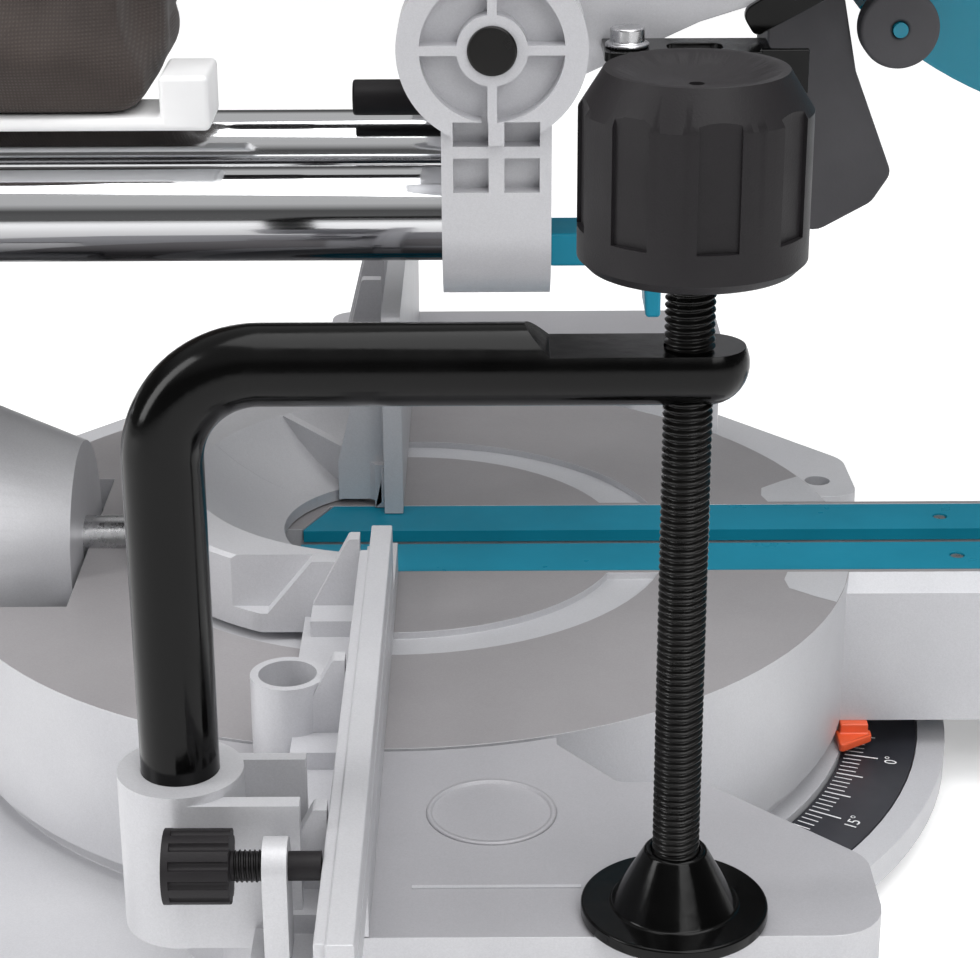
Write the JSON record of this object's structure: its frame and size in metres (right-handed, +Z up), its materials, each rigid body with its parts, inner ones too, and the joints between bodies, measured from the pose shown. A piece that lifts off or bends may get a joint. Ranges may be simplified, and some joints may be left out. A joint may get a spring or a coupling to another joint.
{
  "type": "sliding compound mitre saw",
  "caption": "Bench mitre saw with a round turntable, tilting and sliding head on twin rods, fences and a screw work clamp.",
  "frame": {"origin": "turntable axis on the bench plane, the centre of the bench bolt pattern", "axes": "+X to the operator's right, +Y to the rear along the slide rods, +Z up"},
  "size_m": [0.512, 0.6877, 0.4636],
  "materials": {
    "silver_paint": "fine sparkle paint on cast aluminium",
    "steel": "bright zinc",
    "chrome": "ground and plated",
    "black_enamel": "gloss black",
    "black_oxide": "oiled black oxide",
    "black_plastic": "satin moulded",
    "teal_plastic": "moulded",
    "teal_clear": "clear tinted plastic",
    "scale_black": "printed",
    "orange_plastic": "moulded",
    "rubber": "matt",
    "bronze": "sintered",
    "winding": "varnished copper and iron",
    "bag_fabric": "woven",
    "white_plastic": "moulded"
  },
  "bodies": {
    "base": {"base_casting": "silver_paint", "rubber_feet": "rubber", "mitre_scale": "scale_black", "turntable_pivot": "steel", "left_fence": "silver_paint", "right_fence": "silver_paint", "fence_bolts": "steel"},
    "sliding_fence": {"sliding_fence": "silver_paint"},
    "fence_lock": {"fence_thumbscrew": "black_plastic"},
    "clamp": {"clamp_bar": "black_enamel"},
    "clamp_pad": {"clamp_pad": "black_enamel"},
    "clamp_screw": {"clamp_screw": "black_oxide", "clamp_knob": "black_plastic"},
    "turntable": {"turntable": "silver_paint", "left_kerf_board": "teal_plastic", "right_kerf_board": "teal_plastic", "board_screws": "steel", "mitre_pointer": "orange_plastic", "bevel_shaft": "steel", "detent_pin": "steel"},
    "mitre_lock": {"mitre_lock_rod": "steel", "mitre_lock_grip": "black_plastic"},
    "detent": {"detent_lever": "black_plastic"},
    "bevel": {"bevel_arm": "silver_paint", "slide_bushes": "bronze", "bevel_pointer": "orange_plastic"},
    "bevel_lock": {"bevel_lock_lever": "black_plastic"},
    "slide_lock": {"slide_lock_knob": "black_plastic"},
    "slide": {"left_rod": "chrome", "right_rod": "chrome", "carriage": "silver_paint", "rod_cover": "teal_plastic", "rod_end_plate": "black_enamel", "pivot_pin": "steel"},
    "head_lock": {"head_lock_pin": "black_plastic"},
    "head": {"head_arm": "silver_paint", "blade_housing": "silver_paint", "centre_cover": "black_plastic", "gear_case": "silver_paint", "motor_housing": "teal_plastic", "motor_end_cap": "black_plastic", "brush_caps": "black_plastic", "handle": "black_plastic", "stop_plate": "black_enamel", "stop_screw": "steel", "guard_strap": "black_enamel", "dust_flap": "rubber", "dust_tube": "black_plastic", "bag_collar": "black_plastic", "dust_bag": "bag_fabric", "bag_clip": "white_plastic", "spindle_bearings": "steel"},
    "blade": {"saw_blade": "steel", "blade_flanges": "black_oxide", "arbor_bolt": "black_oxide", "spindle": "steel", "armature": "winding"},
    "guard": {"lower_guard": "teal_clear"},
    "roller": {"guard_roller": "rubber"},
    "trigger": {"trigger": "black_plastic"}
  },
  "joints": [
    {"name": "mitre_turn", "type": "hinge", "parent": "base", "child": "turntable", "pos_m": [0, 0, 0.066], "axis": [0, 0, -1], "range_deg": [-47, 47]},
    {"name": "bevel_tilt", "type": "hinge", "parent": "turntable", "child": "bevel", "pos_m": [0, 0.1, 0.066], "axis": [0, -1, 0], "range_deg": [0, 45]},
    {"name": "head_slide", "type": "slide", "parent": "bevel", "child": "slide", "axis": [0, 1, 0], "range_m": [-0.03, 0.17]},
    {"name": "head_chop", "type": "hinge", "parent": "slide", "child": "head", "pos_m": [0, -0.027, 0.221], "axis": [-1, 0, 0], "range_deg": [-41.5, 0], "stiffness_Nm_per_rad": 14, "springref_deg": 74.48},
    {"name": "guard_turn", "type": "hinge", "parent": "head", "child": "guard", "pos_m": [0, -0.20481, 0.30581], "axis": [1, 0, 0], "range_deg": [-153.1, 0.1]},
    {"name": "blade_spin", "type": "hinge", "parent": "head", "child": "blade", "pos_m": [0, -0.20481, 0.30581], "axis": [1, 0, 0], "continuous": true},
    {"name": "roller_spin", "type": "hinge", "parent": "guard", "child": "roller", "pos_m": [0, -0.13401, 0.21838], "axis": [1, 0, 0], "continuous": true},
    {"name": "trigger_press", "type": "slide", "parent": "head", "child": "trigger", "axis": [0, 0, 1], "range_m": [0, 0.006], "stiffness_N_per_m": 400, "springref_m": -0.006},
    {"name": "head_lock_pull", "type": "slide", "parent": "slide", "child": "head_lock", "axis": [0, 1, 0], "range_m": [0, 0.008]},
    {"name": "slide_lock_turn", "type": "hinge", "parent": "bevel", "child": "slide_lock", "pos_m": [0.06, 0.229, 0.173], "axis": [1, 0, 0], "range_deg": [0, 180]},
    {"name": "bevel_lock_turn", "type": "hinge", "parent": "bevel", "child": "bevel_lock", "pos_m": [0, 0.205, 0.066], "axis": [0, 1, 0], "range_deg": [-45, 0]},
    {"name": "mitre_lock_turn", "type": "hinge", "parent": "turntable", "child": "mitre_lock", "pos_m": [0, -0.32, 0.04], "axis": [0, 1, 0], "range_deg": [0, 180]},
    {"name": "detent_press", "type": "hinge", "parent": "turntable", "child": "detent", "pos_m": [0, -0.25, 0.026], "axis": [1, 0, 0], "range_deg": [0, 4], "stiffness_Nm_per_rad": 6, "springref_deg": -5.73},
    {"name": "fence_slide", "type": "slide", "parent": "base", "child": "sliding_fence", "axis": [1, 0, 0], "range_m": [-0.03, 0.025]},
    {"name": "fence_lock_turn", "type": "hinge", "parent": "base", "child": "fence_lock", "pos_m": [-0.228, 0.03, 0.092], "axis": [0, 1, 0], "range_deg": [0, 180]},
    {"name": "clamp_swivel", "type": "hinge", "parent": "base", "child": "clamp", "pos_m": [-0.205, 0.039, 0.166], "axis": [0, 0, -1], "range_deg": [0, 90]},
    {"name": "clamp_travel", "type": "slide", "parent": "clamp", "child": "clamp_pad", "axis": [0, 0, 1], "range_m": [0, 0.015]},
    {"name": "clamp_turn", "type": "hinge", "parent": "clamp_pad", "child": "clamp_screw", "pos_m": [-0.205, -0.065, 0.166], "axis": [0, 0, 1], "range_deg": [0, 3602]}
  ],
  "couplings": [
    {"joint": "guard_turn", "follows": "head_chop", "ratio": 3.6867},
    {"joint": "clamp_turn", "follows": "clamp_travel", "rad_per_m": 4188.8}
  ]
}
